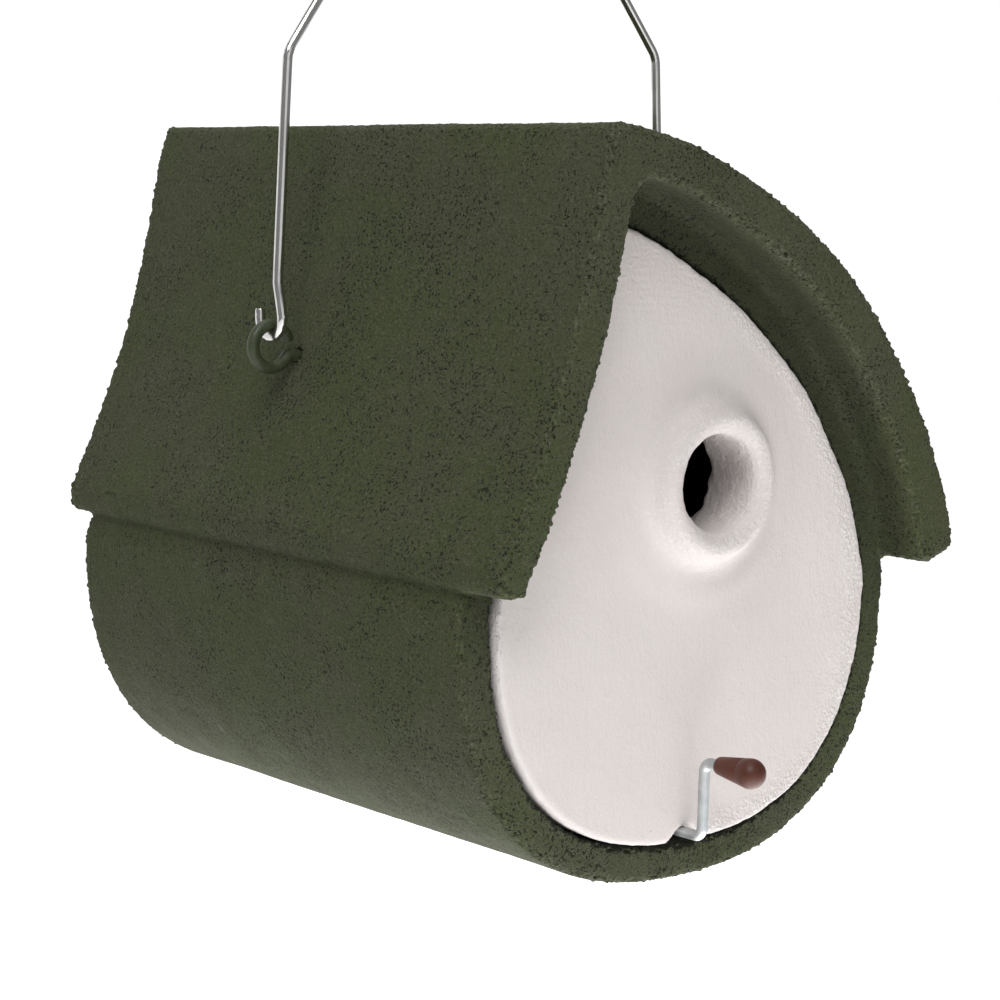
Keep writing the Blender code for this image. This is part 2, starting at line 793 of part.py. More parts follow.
def front_panel():
    """The removable front, with its entrance and the notch for the crank."""
    back = PANEL_DEPTH + PANEL_THICKNESS
    hole = spot(HOLE_X, PANEL_DEPTH, -HOLE_DROP)
    plate = slab(panel_loop(), PANEL_DEPTH, back, PANEL_ARRIS)
    panel = piece("front_panel", plate, hole, PANEL_WHITE)
    combine(panel, "boss_form", turned(boss_profile(), hole, FRONT, BOSS_SIDES), "UNION")
    funnel = turned(funnel_profile(), hole, FRONT, BOSS_SIDES)
    combine(panel, "funnel_cutter", funnel, "DIFFERENCE")
    notch = slab(notch_loop(), PANEL_DEPTH - SEAT_GAP, back + SEAT_GAP)
    combine(panel, "notch_cutter", notch, "DIFFERENCE")
    return panel


def crank(sleeve_at, turn_at):
    """The latch's wire: through the notch, up in front of the panel, out to its grip."""
    top = turn_at + Vector((0.0, 0.0, LATCH_ARM))
    line = bent([sleeve_at + BACK * LATCH_EMBED, turn_at, top, top + FRONT * (LATCH_REACH + KNOB_START)],
                [LATCH_BEND, LATCH_BEND], CRANK_STEP_DEG)
    return piece("latch_wire", wire(line, LATCH_WIRE), turn_at, ZINC)


def grip(turn_at):
    """The latch's knob: it widens from a small end to a round nose, and the wire is in it."""
    at = turn_at + Vector((0.0, 0.0, LATCH_ARM)) + FRONT * KNOB_START
    small = KNOB_SMALL / 2
    large = KNOB_LARGE / 2
    edge = small / 3
    nose = KNOB_LENGTH - large
    bore = LATCH_WIRE / 2 + TOUCH_GAP
    deep = LATCH_REACH + TOUCH_GAP
    profile = [(bore, 0)] + arc(edge, 270, 360, ARC_STEPS, (small - edge, edge))[1:]
    profile += arc(large, 0, 90, KNOB_NOSE_STEPS, (0, nose))[:-1]
    profile += [(0, KNOB_LENGTH), (0, deep), (bore, deep)]
    return piece("latch_knob", turned(profile, at, FRONT, KNOB_SIDES), at, KNOB_BROWN)


def hook(x):
    """A hook under an eye's wire, from the tail behind to the kink of the leg in front."""
    low = SWING_DROP + EYE_WIRE / 2 + HANGER_WIRE / 2 + TOUCH_GAP
    centre = spot(x, EYE_DEPTH, HOOK_RADIUS - low)
    line = [centre + BACK * HOOK_RADIUS + Vector((0.0, 0.0, HOOK_TAIL))]
    for turn in np.radians(np.linspace(0.0, 180 + HOOK_LEAN_DEG, HOOK_STEPS + 1)):
        line.append(centre + Vector((0.0, math.cos(turn), -math.sin(turn))) * HOOK_RADIUS)
    kink = spot(x, EYE_DEPTH - LEG_DEPTH, LEG_KINK_RISE - low)
    return line, kink


def bend_peak():
    """The corner over which the hanger's top is rounded to its height."""
    half_left = math.atan2(-HANGER_LEFT_BEND_X, HANGER_TOP - HANGER_LEFT_BEND_RISE)
    half_right = math.atan2(HANGER_RIGHT_BEND_X, HANGER_TOP - HANGER_RIGHT_BEND_RISE)
    half = (half_left + half_right) / 2
    return spot(0.0, EYE_DEPTH, HANGER_TOP + HANGER_WIRE / 2 + HANGER_TOP_RADIUS * (1 / math.sin(half) - 1))


def hanger():
    """The wire hanger: two hooks, two legs and two sloping sides with a round top."""
    left_hook, left_kink = hook(LEFT_EYE_X)
    right_hook, right_kink = hook(RIGHT_EYE_X)
    left_bend = spot(HANGER_LEFT_BEND_X, EYE_DEPTH - LEG_DEPTH, HANGER_LEFT_BEND_RISE)
    right_bend = spot(HANGER_RIGHT_BEND_X, EYE_DEPTH - LEG_DEPTH, HANGER_RIGHT_BEND_RISE)
    corners = [left_hook[-1], left_kink, left_bend, bend_peak(), right_bend, right_kink, right_hook[-1]]
    radii = [LEG_KINK_RADIUS, HANGER_BEND_RADIUS, HANGER_TOP_RADIUS, HANGER_BEND_RADIUS, LEG_KINK_RADIUS]
    line = left_hook[:-1] + bent(corners, radii, HANGER_STEP_DEG) + right_hook[-2::-1]
    return piece("hanger_bail", wire(line, HANGER_WIRE), Vector((0.0, 0.0, 0.0)), STEEL)


def build():
    """The whole box: the pieces, and the empties on the axes that they move about."""
    for old in list(bpy.data.objects):
        bpy.data.objects.remove(old, do_unlink=True)

    swing_at = spot(0.0, EYE_DEPTH, -SWING_DROP)
    front_at = spot(0.0, PANEL_DEPTH, -HOLE_DROP)
    sleeve_at = spot(LATCH_X, LEDGE_DEPTH, -LATCH_DROP)
    latch_at = spot(LATCH_X, PANEL_DEPTH - LATCH_STANDOFF, -LATCH_DROP)

    swing = axis_empty("box_swing", swing_at)
    front = axis_empty("front_off", front_at)
    latch = axis_empty("latch_turn", latch_at)
    attach(front, swing)
    attach(latch, front)

    hanger()
    body = casting(swing_at)
    attach(body, swing)
    attach(eye("left", body, LEFT_EYE_X, into_roof(left_slope(), -1), swing_at), swing)
    attach(eye("right", body, RIGHT_EYE_X, into_roof(right_slope(), 1), swing_at), swing)
    attach(sleeve(body, sleeve_at), swing)
    attach(front_panel(), front)
    attach(crank(sleeve_at, latch_at), latch)
    attach(grip(latch_at), latch)


build()
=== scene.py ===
"""Looks of the hanging nest box: a rough green casting, a pale front and its wires.

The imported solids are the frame.  The castings are remeshed, so that grain, chips
and worn arrises are real shape, and each surface has a procedural finish.
Lengths are in metres.  -Y is the front, +Z is up, and the origin lies under the
top of the hanger.
"""

import math

import bmesh
import bpy
import numpy as np
from mathutils import Matrix, Vector, noise


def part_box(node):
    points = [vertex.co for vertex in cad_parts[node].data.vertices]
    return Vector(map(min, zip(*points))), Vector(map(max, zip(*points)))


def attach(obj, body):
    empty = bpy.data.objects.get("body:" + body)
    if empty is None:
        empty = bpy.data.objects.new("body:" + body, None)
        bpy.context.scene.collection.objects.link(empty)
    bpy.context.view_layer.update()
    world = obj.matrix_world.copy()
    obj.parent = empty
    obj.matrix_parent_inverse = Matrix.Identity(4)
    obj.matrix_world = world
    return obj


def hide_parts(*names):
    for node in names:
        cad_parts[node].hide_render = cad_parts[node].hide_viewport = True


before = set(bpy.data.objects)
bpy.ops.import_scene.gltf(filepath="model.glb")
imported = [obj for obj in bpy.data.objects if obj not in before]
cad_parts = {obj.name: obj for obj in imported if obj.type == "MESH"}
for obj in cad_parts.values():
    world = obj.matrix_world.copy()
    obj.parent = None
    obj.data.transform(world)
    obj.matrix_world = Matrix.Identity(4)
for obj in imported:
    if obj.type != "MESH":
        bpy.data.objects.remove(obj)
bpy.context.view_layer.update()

# Meshes
WELD = 1e-6
CASTING_VOXEL = 0.00115
CASTING_FACES = 230000
PANEL_VOXEL = 0.0010
ARRIS_ANGLE = 0.16
ARRIS_RINGS = 1
ARRIS_CUTS = 2
ARRIS_STEPS = 12
WIRE_SIDES = 10
WIRE_LEVELS = 2
QUAD_BEND = 0.6
QUAD_SHAPE = 0.9

# Wires
HANGER_WIRE = 0.0035
EYE_WIRE = 0.0042
CRANK_WIRE = 0.0036

# Casting
# These bound the painted shade in the seat's crevice and under the front of the roof
EDGE_Y = -0.1393
RIM_Y = -0.1192
HOLLOW_Z = -0.270
INWARD = (-0.010, -0.030)
UNDER_ROOF_Z = (-0.330, -0.260)
UNDER_ROOF_SHADE = 0.45

# Reliefs: distance between bumps, height, shift of the noise
CAST_SWELL = (0.070, 0.00035, 0.0)
CAST_DENTS = (0.022, 0.00012, 5.0)
CAST_LUMPS = (0.0050, 0.00010, 17.0)
CRUMBS = (0.0011, 0.00075, 3.0)
CRUMB_CLUMPS = (0.0021, 0.00060, 11.0)
PANEL_SWELL = (0.030, 0.00028, 0.0)
PANEL_LUMPS = (0.0085, 0.00009, 7.0)
PANEL_STROKES = (0.0034, 0.00005, 13.0)
PANEL_BEADS = (0.0026, 0.00010, 15.0)
BORE_GRAIN = (0.0024, 0.00022, 19.0)
BORE_LUMPS = (0.0070, 0.00022, 43.0)
BORE_RAGS = (0.0042, 0.0011, 53.0)
RIM_GRAIN = (0.0030, 0.00024, 29.0)
RIM_LUMPS = (0.0075, 0.00020, 37.0)
RIDGE_WANDER = (0.014, 5.0, 31.0)
RIDGE_PATCHES = (0.009, 1.0, 47.0)
BRUSHED = (1.0, 1.0, 0.45)

# Casting's arrises: bend of the surface, for each metre, and chips
CRUMBLED_BEND = (90.0, 300.0)
# Lightened arrises: partly worn paint, partly a painted highlight along the edges
WEAR_AND_HIGHLIGHT_BEND = (200.0, 420.0)
CHIPS = (0.0032, 1.0, 23.0)
CHIP_LEVEL = (0.26, 0.44)
CHIP_DEPTH = 0.0008

# Panel: the entrance's middle, and radii around it
ENTRANCE_X = 0.0042
ENTRANCE_Z = -0.2436
BORE_EDGE = (0.0158, 0.0185)
FUNNEL = (0.0225, 0.0165)
BOSS_BEADS = (0.034, 0.020)
BOSS_OUTER = 0.050
BOSS_FADE = (0.050, 0.043)
BOSS_SOFTNESS = 28

# Panel: distances from its sides
SLOPE_BEADS = (0.011, 0.002)
TIP_REACH = (0.045, 0.012)
RIM_REACH = (0.030, 0.004)
RIM_BELOW_TIP = 0.03
RIDGE_PERIOD = 0.0024
RIDGE_HEIGHT = 0.00005
RIDGE_SLANT = 0.10

# Grip
KNOB_SMALL = 0.0060
KNOB_LARGE = 0.0100
KNOB_SIDES = 64
KNOB_SEAM_SHARE = 0.58
KNOB_SEAM = 0.00016
KNOB_ROUND = 0.0006
KNOB_NOSE_STEPS = 14

# Colours
CAST_OLIVE = (0.054, 0.059, 0.031)
CAST_GREEN = (0.048, 0.058, 0.023)
CAST_FADED = (0.062, 0.068, 0.037)
CAST_LIGHT = (0.110, 0.118, 0.074)
CAST_DARK = (0.013, 0.016, 0.006)
# Painted highlight on the pits' rims
CAST_PIT_HIGHLIGHT = (0.104, 0.111, 0.072)
CAST_HOLE = (0.005, 0.007, 0.001)
# Worn edges, partly a painted highlight
CAST_WORN_AND_LIT = (0.120, 0.130, 0.090)
# Painted shade colour for the seat's crevice and the faces under the roof's front
CAST_SHADE = (0.007, 0.009, 0.004)
PANEL_CREAM = (0.655, 0.599, 0.581)
PANEL_WHITE = (0.672, 0.624, 0.607)
PANEL_THIN = (0.600, 0.545, 0.530)
# Painted highlight on the paint beads
PANEL_BEAD_HIGHLIGHT = (0.860, 0.845, 0.840)
# Painted highlight on the rounded rim, against its shading
PANEL_RIM_HIGHLIGHT = (0.800, 0.780, 0.770)
PANEL_SPECK = (0.230, 0.205, 0.200)
PANEL_SCUFF = (0.150, 0.148, 0.145)
EYE_DARK = (0.034, 0.044, 0.021)
EYE_LIGHT = (0.050, 0.060, 0.031)
EYE_CHIP = (0.13, 0.14, 0.11)
STEEL_BRIGHT = (0.63, 0.62, 0.61)
STEEL_DULL = (0.54, 0.53, 0.52)
ZINC_DULL = (0.43, 0.455, 0.465)
ZINC_BRIGHT = (0.53, 0.55, 0.557)
ZINC_SPANGLE = (0.36, 0.38, 0.39)
ZINC_DROP = (0.16, 0.15, 0.16)
GRIP_DARK = (0.070, 0.018, 0.010)
GRIP_LIGHT = (0.088, 0.025, 0.014)
SLEEVE_DARK = (0.13, 0.13, 0.13)
SLEEVE_LIGHT = (0.19, 0.19, 0.19)
STAGE_PALE = (0.88, 0.88, 0.88, 1.0)
SKY_WHITE = (1.0, 1.0, 1.0, 1.0)

# Camera, fitted to the photograph: degrees and millimetres
CAMERA_PLACE = Vector((-0.5774, -0.7207, -0.1536))
CAMERA_TURN = 39.57
CAMERA_DROP = 6.69
CAMERA_ROLL = 1.39
CAMERA_LENS = 92.76
SENSOR = 36.0
CLIP_NEAR = 0.01
CLIP_FAR = 50.0

# Stage
FLOOR_Z = -0.95
FLOOR_HALF = 5.0
BACKDROP_Y = 4.0
BACKDROP_TOP = 5.0
BACKDROP_BEND = 1.5
BACKDROP_STEPS = 24
STAGE_ROUGHNESS = 0.9
STAGE_GLOW = 0.80

# Lamps: name, place, side of the square and watts, all aimed at the object's middle
LAMP_TARGET = (0.0, 0.0, -0.25)
LAMPS = (
    ("key_lamp", (-1.20, -1.00, 1.55), 1.2, 35.0),
    ("front_lamp", (-0.70, -2.55, -0.20), 2.4, 10.8),
    ("low_lamp", (0.06, -0.10, -0.92), 1.2, 13.0),
    ("top_lamp", (0.10, 0.20, 1.90), 1.2, 14.0),
    ("back_lamp", (1.30, 1.90, 0.45), 1.8, 14.0),
)
SURROUND_LIGHT = 0.27
SURROUND_SEEN = 1.0


# Node helpers

class Shader:
    """A material's node tree, built call by call."""

    def __init__(self, name):
        self.material = bpy.data.materials.new(name)
        self.material.use_nodes = True
        self.tree = self.material.node_tree
        self.surface = self.tree.nodes["Principled BSDF"]
        coordinates = self.add("ShaderNodeTexCoord")
        self.place = coordinates.outputs["Object"]
        self.normal = coordinates.outputs["Normal"]

    def add(self, kind, **settings):
        """A new node with its settings."""
        made = self.tree.nodes.new(kind)
        for key, value in settings.items():
            setattr(made, key, value)
        return made

    def join(self, source, socket):
        """Links a socket, or sets it to a plain value."""
        if isinstance(source, bpy.types.NodeSocket):
            self.tree.links.new(source, socket)
        else:
            socket.default_value = source

    def math(self, operation, a, b=None, c=None):
        """One sum of numbers or sockets."""
        made = self.add("ShaderNodeMath", operation=operation)
        for k, value in enumerate((a, b, c)):
            if value is not None:
                self.join(value, made.inputs[k])
        return made.outputs[0]

    def stretch(self, scale):
        """Object coordinates, scaled along each axis."""
        made = self.add("ShaderNodeMapping", vector_type="POINT")
        made.inputs["Scale"].default_value = scale
        self.join(self.place, made.inputs["Vector"])
        return made.outputs[0]

    def noise(self, scale, detail=2.0, rough=0.5, place=None):
        """Smooth noise around 0.5, with scale bumps to a metre."""
        made = self.add("ShaderNodeTexNoise")
        self.join(place or self.place, made.inputs["Vector"])
        made.inputs["Scale"].default_value = scale
        made.inputs["Detail"].default_value = detail
        made.inputs["Roughness"].default_value = rough
        return made.outputs["Fac"]

    def cells(self, scale, place=None):
        """A node of round cells, scale to a metre."""
        made = self.add("ShaderNodeTexVoronoi", feature="F1")
        self.join(place or self.place, made.inputs["Vector"])
        made.inputs["Scale"].default_value = scale
        return made

    def ramp(self, value, low, high, to_low=0.0, to_high=1.0):
        """A smooth step from to_low at low to to_high at high."""
        made = self.add("ShaderNodeMapRange", interpolation_type="SMOOTHSTEP")
        self.join(value, made.inputs["Value"])
        limits = {"From Min": low, "From Max": high, "To Min": to_low, "To Max": to_high}
        for key, number in limits.items():
            self.join(number, made.inputs[key])
        return made.outputs[0]

    def mix(self, share, a, b):
        """Colour a, with a share of colour b."""
        made = self.add("ShaderNodeMix", data_type="RGBA", blend_type="MIX")
        self.join(share, made.inputs["Factor"])
        for value, key in ((a, "A"), (b, "B")):
            socket = [s for s in made.inputs if s.name == key and s.type == "RGBA"][0]
            plain = not isinstance(value, bpy.types.NodeSocket)
            self.join((*value, 1.0) if plain else value, socket)
        return [s for s in made.outputs if s.type == "RGBA"][0]

    def parts(self, vector):
        """The x, y and z of a vector."""
        made = self.add("ShaderNodeSeparateXYZ")
        self.join(vector, made.inputs[0])
        return made.outputs

    def attribute(self, name):
        """A number that the mesh holds for each vertex."""
        return self.add("ShaderNodeAttribute", attribute_name=name).outputs["Fac"]

    def bump(self, height, distance):
        """A normal for a height of 0 to 1, which stands for 0 to distance."""
        made = self.add("ShaderNodeBump")
        made.inputs["Strength"].default_value = 1.0
        made.inputs["Distance"].default_value = distance
        self.join(height, made.inputs["Height"])
        return made.outputs[0]

    def finish(self, colour, roughness, normal=None, **plain):
        """Joins the surface's sockets and returns the material."""
        for value, key in ((colour, "Base Color"), (roughness, "Roughness"), (normal, "Normal")):
            if value is not None:
                self.join(value, self.surface.inputs[key])
        for key, value in plain.items():
            self.surface.inputs[key.replace("_", " ")].default_value = value
        return self.material


def pits(shader, scale, place, low, high, dense):
    """Small holes: 1 at the middle of a pit and 0 outside. dense is 0 to 1 over the surface."""
    cell = shader.cells(scale, place)
    split = shader.add("ShaderNodeSeparateColor")
    shader.join(cell.outputs["Color"], split.inputs[0])
    keep = shader.math("LESS_THAN", split.outputs[0], dense)
    radius = shader.math("MULTIPLY_ADD", split.outputs[1], high - low, low)
    inner = shader.math("MULTIPLY", radius, 0.45)
    return shader.math("MULTIPLY", shader.ramp(cell.outputs["Distance"], radius, inner), keep)


# Materials

def painted_shade_mask(s):
    """Painted shade: 1 in the seat's crevice, less on the faces under the front of the roof, 0
    elsewhere.
    """
    x, y, z = s.parts(s.place)
    across, forward, up = s.parts(s.normal)
    inward = s.math("MULTIPLY", across, x)
    inward = s.math("MULTIPLY_ADD", up, s.math("SUBTRACT", z, HOLLOW_Z), inward)
    inner = s.ramp(inward, *INWARD)
    lining = s.math("MULTIPLY", inner, s.ramp(y, EDGE_Y + 0.0015, EDGE_Y + 0.0085))
    ahead = s.ramp(forward, -0.60, -0.85)
    face = s.math("MULTIPLY", ahead, s.ramp(y, RIM_Y - 0.0050, RIM_Y - 0.0020))
    under_roof = s.math("MULTIPLY", s.math("MAXIMUM", lining, face),
                        s.ramp(z, *UNDER_ROOF_Z, 0.0, UNDER_ROOF_SHADE))
    in_seat = s.math("MULTIPLY", inner, s.ramp(y, RIM_Y - 0.0008, RIM_Y + 0.0004))
    return s.math("MAXIMUM", under_roof, in_seat)


def cast_holes(s, along):
    """The casting's holes, and the pale rims around them as a painted highlight, each 0 to 1."""
    fewer_behind = s.ramp(s.parts(s.place)[1], -0.02, 0.11, 0.0, -0.07)
    density = s.math("ADD", s.noise(38.0, detail=3.0, rough=0.6), fewer_behind)
    level = s.ramp(density, 0.34, 0.62, 0.640, 0.564)
    worms = s.noise(1080.0, detail=1.5, rough=0.55, place=along)
    over = s.math("SUBTRACT", worms, level)
    cell = pits(s, 520.0, along, 0.16, 0.34, s.ramp(density, 0.38, 0.66, 0.06, 0.48))
    holes = s.math("MAXIMUM", s.ramp(over, 0.0, 0.026), cell)
    rims = s.math("MULTIPLY", s.ramp(over, -0.060, -0.014), s.ramp(over, 0.010, -0.014))
    return holes, rims


def casting_material():
    """Dark green paint on a rough cast of wood fibre and cement."""
    s = Shader("painted_green_casting")
    along = s.stretch((1.0, 0.75, 1.0))
    patches = s.noise(17.0, detail=4.0, rough=0.6)
    middle = s.noise(85.0, detail=4.0, rough=0.6)
    fine = s.noise(1150.0, detail=2.0, rough=0.6, place=along)
    grit = s.noise(2300.0, detail=1.0, rough=0.5)
    holes, rims = cast_holes(s, along)
    colour = s.mix(s.ramp(patches, 0.40, 0.62), CAST_OLIVE, CAST_GREEN)
    colour = s.mix(s.ramp(middle, 0.40, 0.75, 0.0, 0.5), colour, CAST_FADED)
    colour = s.mix(s.ramp(fine, 0.52, 0.74, 0.0, 0.55), colour, CAST_LIGHT)
    colour = s.mix(s.ramp(fine, 0.48, 0.27, 0.0, 0.60), colour, CAST_DARK)
    # Pale rims around the holes: a painted highlight of lit pit lips
    colour = s.mix(s.math("MULTIPLY", rims, 0.50), colour, CAST_PIT_HIGHLIGHT)
    colour = s.mix(s.math("MULTIPLY", holes, 0.82), colour, CAST_HOLE)
    # Arrises are lightened: partly worn paint, partly a painted highlight where the edges catch
    # light
    wear_and_highlight = s.ramp(s.noise(300.0, detail=3.0, rough=0.7), 0.46, 0.62, 0.0, 0.75)
    colour = s.mix(s.math("MULTIPLY", s.attribute("arris"), wear_and_highlight), colour, CAST_WORN_AND_LIT)
    # Painted shade: the seat's crevice and the faces under the front of the roof are darkened
    colour = s.mix(s.math("MULTIPLY", painted_shade_mask(s), 0.88), colour, CAST_SHADE)
    height = s.math("MULTIPLY_ADD", fine, 0.8, s.math("MULTIPLY", middle, 1.6))
    height = s.math("MULTIPLY_ADD", grit, 0.25, height)
    height = s.math("MULTIPLY_ADD", holes, -1.0, height)
    rough = s.ramp(middle, 0.3, 0.7, 0.70, 0.86)
    return s.finish(colour, rough, s.bump(height, 0.00052), Specular_IOR_Level=0.15,
                    Sheen_Weight=0.11, Sheen_Roughness=0.22)


def panel_material():
    """White paint, stippled on by brush, over the same cast material."""
    s = Shader("painted_white_casting")
    brushed = s.stretch((1.0, 1.0, 0.5))
    coarse = s.attribute("coarse")
    patches = s.noise(16.0, detail=3.0)
    strokes = s.noise(620.0, detail=3.0, rough=0.6, place=brushed)
    stipple = s.noise(950.0, detail=2.0, rough=0.6)
    beads = s.noise(900.0, detail=2.0, rough=0.55)
    lumps = s.noise(150.0, detail=3.0, rough=0.5, place=brushed)
    specks = pits(s, 260.0, s.place, 0.05, 0.11, 0.035)
    grime = s.ramp(s.noise(1500.0, detail=3.0, rough=0.7), 0.56, 0.62)
    scuff = s.math("MULTIPLY", s.attribute("scuff"), grime)
    # White on the beads: a painted highlight on their lit sides
    white = s.math("MULTIPLY", s.ramp(beads, 0.55, 0.66),
                   s.math("MULTIPLY_ADD", coarse, 0.50, 0.05))
    colour = s.mix(s.ramp(patches, 0.35, 0.68), PANEL_CREAM, PANEL_WHITE)
    colour = s.mix(s.ramp(strokes, 0.50, 0.26, 0.0, 0.16), colour, PANEL_THIN)
    colour = s.mix(white, colour, PANEL_BEAD_HIGHLIGHT)
    # The rounded rim is tinted whiter: a painted highlight that offsets its shading
    colour = s.mix(s.math("MULTIPLY", s.attribute("arris"), 0.35), colour, PANEL_RIM_HIGHLIGHT)
    colour = s.mix(s.math("MULTIPLY", specks, 0.55), colour, PANEL_SPECK)
    colour = s.mix(s.math("MULTIPLY", scuff, 0.75), colour, PANEL_SCUFF)
    height = s.math("MULTIPLY_ADD", strokes, 0.8, s.math("MULTIPLY", stipple, 0.4))
    height = s.math("MULTIPLY_ADD", lumps, 1.4, height)
    height = s.math("MULTIPLY_ADD", beads, s.math("MULTIPLY_ADD", coarse, 2.8, 0.5), height)
    height = s.math("MULTIPLY_ADD", specks, -0.7, height)
    return s.finish(colour, 0.62, s.bump(height, 0.00026), Specular_IOR_Level=0.40)


def eye_material():
    """The same green paint, brushed over the wire of the eyes."""
    s = Shader("painted_eye_wire")
    thick = s.noise(260.0, detail=3.0, rough=0.6)
    chips = s.ramp(s.noise(700.0, detail=3.0, rough=0.6), 0.66, 0.72, 0.0, 0.7)
    colour = s.mix(s.ramp(thick, 0.35, 0.7), EYE_DARK, EYE_LIGHT)
    colour = s.mix(chips, colour, EYE_CHIP)
    rough = s.ramp(thick, 0.3, 0.7, 0.38, 0.55)
    return s.finish(colour, rough, s.bump(thick, 0.0003), Specular_IOR_Level=0.30)


def steel_material():
    """Bright drawn wire, with faint lines along it."""
    s = Shader("bright_drawn_steel")
    drawn = s.noise(900.0, detail=3.0, rough=0.6, place=s.stretch((1.0, 1.0, 0.05)))
    dull = s.noise(70.0, detail=3.0)
    colour = s.mix(s.ramp(dull, 0.35, 0.7), STEEL_BRIGHT, STEEL_DULL)
    rough = s.math("ADD", s.ramp(dull, 0.3, 0.7, 0.12, 0.22), s.ramp(drawn, 0.4, 0.8, 0.0, 0.08))
    return s.finish(colour, rough, s.bump(drawn, 0.00002), Metallic=1.0)


def zinc_material():
    """A dull zinc coat, a little mottled."""
    s = Shader("zinc_coated_wire")
    spangle = s.cells(420.0).outputs["Distance"]
    mottle = s.noise(240.0, detail=3.0)
    drops = pits(s, 300.0, s.place, 0.10, 0.2, 0.03)
    colour = s.mix(s.ramp(mottle, 0.35, 0.7), ZINC_DULL, ZINC_BRIGHT)
    colour = s.mix(s.ramp(spangle, 0.1, 0.6, 0.0, 0.18), colour, ZINC_SPANGLE)
    colour = s.mix(drops, colour, ZINC_DROP)
    rough = s.ramp(mottle, 0.3, 0.7, 0.36, 0.50)
    return s.finish(colour, rough, s.bump(mottle, 0.00012), Metallic=0.72)


def knob_material():
    """Brown moulded plastic with a satin skin."""
    s = Shader("brown_moulded_plastic")
    cloud = s.noise(110.0, detail=3.0)
    skin = s.noise(1500.0, detail=2.0)
    colour = s.mix(s.ramp(cloud, 0.3, 0.7), GRIP_DARK, GRIP_LIGHT)
    rough = s.ramp(skin, 0.3, 0.7, 0.40, 0.50)
    return s.finish(colour, rough, s.bump(skin, 0.00004), Specular_IOR_Level=0.35)


def sleeve_material():
    """Grey plastic of the sleeve in the casting."""
    s = Shader("grey_moulded_plastic")
    cloud = s.noise(140.0, detail=3.0)
    colour = s.mix(cloud, SLEEVE_DARK, SLEEVE_LIGHT)
    return s.finish(colour, 0.6, s.bump(s.noise(900.0), 0.00005))


# Meshes

def welded(node):
    """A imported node's surface as one welded bmesh."""
    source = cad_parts[node]
    bm = bmesh.new()
    bm.from_mesh(source.data)
    bmesh.ops.transform(bm, matrix=source.matrix_world, verts=bm.verts)
    bmesh.ops.remove_doubles(bm, verts=bm.verts, dist=WELD)
    plain = bmesh.new()
    copies = [plain.verts.new(v.co) for v in bm.verts]
    bm.verts.index_update()
    for f in bm.faces:
        plain.faces.new([copies[v.index] for v in f.verts])
    bm.free()
    return plain


def piece(name, bm, material):
    """A smooth-shaded object of the bmesh, in the scene."""
    mesh = bpy.data.meshes.new(name)
    bm.to_mesh(mesh)
    bm.free()
    obj = bpy.data.objects.new(name, mesh)
    bpy.context.scene.collection.objects.link(obj)
    mesh.materials.append(material)
    mesh.shade_smooth()
    return obj


def declare(obj, node, body):
    """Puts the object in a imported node's place, on its body."""
    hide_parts(node)
    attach(obj, body)


def baked(obj):
    """Replaces the object's mesh by what its modifiers make of it."""
    bpy.context.view_layer.update()
    graph = bpy.context.evaluated_depsgraph_get()
    mesh = bpy.data.meshes.new_from_object(obj.evaluated_get(graph))
    old = obj.data
    obj.modifiers.clear()
    obj.data = mesh
    bpy.data.meshes.remove(old)
    return obj


def remeshed(node, name, voxel, material):
    """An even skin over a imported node."""
    obj = piece(name, welded(node), material)
    step = obj.modifiers.new("even", "REMESH")
    step.mode = "VOXEL"
    step.voxel_size = voxel
    return baked(obj)


def refine_arrises(obj):
    """Splits the faces along the outer arrises, where chips need a finer mesh."""
    bm = bmesh.new()
    bm.from_mesh(obj.data)
    bm.normal_update()
    near = set()
    for edge in bm.edges:
        if len(edge.link_faces) == 2 and edge.calc_face_angle_signed() > ARRIS_ANGLE:
            near.update(edge.link_faces)
    for _ in range(ARRIS_RINGS):
        near.update([f for face in list(near) for v in face.verts for f in v.link_faces])
    edges = {e for face in near for e in face.edges}
    bmesh.ops.subdivide_edges(bm, edges=list(edges), cuts=ARRIS_CUTS, use_grid_fill=True)
    bmesh.ops.triangulate(bm, faces=[f for f in bm.faces if len(f.verts) > 4])
    bm.to_mesh(obj.data)
    bm.free()


def thinned(obj, faces):
    """Fewer triangles where the surface is even."""
    triangles = sum(len(f.vertices) - 2 for f in obj.data.polygons)
    step = obj.modifiers.new("thin", "DECIMATE")
    step.ratio = min(1.0, faces / triangles)
    baked(obj)
    obj.data.shade_smooth()


def read(obj):
    """Vertices, their normals and the edges' ends, as arrays."""
    mesh = obj.data
    points = np.empty(len(mesh.vertices) * 3)
    mesh.vertices.foreach_get("co", points)
    normals = np.empty(len(mesh.vertices) * 3)
    mesh.vertices.foreach_get("normal", normals)
    ends = np.empty(len(mesh.edges) * 2, int)
    mesh.edges.foreach_get("vertices", ends)
    return points.reshape(-1, 3), normals.reshape(-1, 3), ends.reshape(-1, 2)


def write(obj, points):
    """Moves the vertices to the points."""
    obj.data.vertices.foreach_set("co", points.ravel())
    obj.data.update()


def keep(obj, name, values):
    """Stores one number for each vertex, for the material."""
    layer = obj.data.attributes.new(name, "FLOAT", "POINT")
    layer.data.foreach_set("value", np.asarray(values, np.float32))


# Arrays of one number for each vertex

def spread(values, ends, rounds):
    """Averages a number for each vertex with its neighbours' numbers."""
    values = np.asarray(values, float)
    count = np.bincount(ends.ravel(), minlength=len(values)) + 1.0
    for _ in range(rounds):
        total = values.copy()
        np.add.at(total, ends[:, 0], values[ends[:, 1]])
        np.add.at(total, ends[:, 1], values[ends[:, 0]])
        values = total / count
    return values


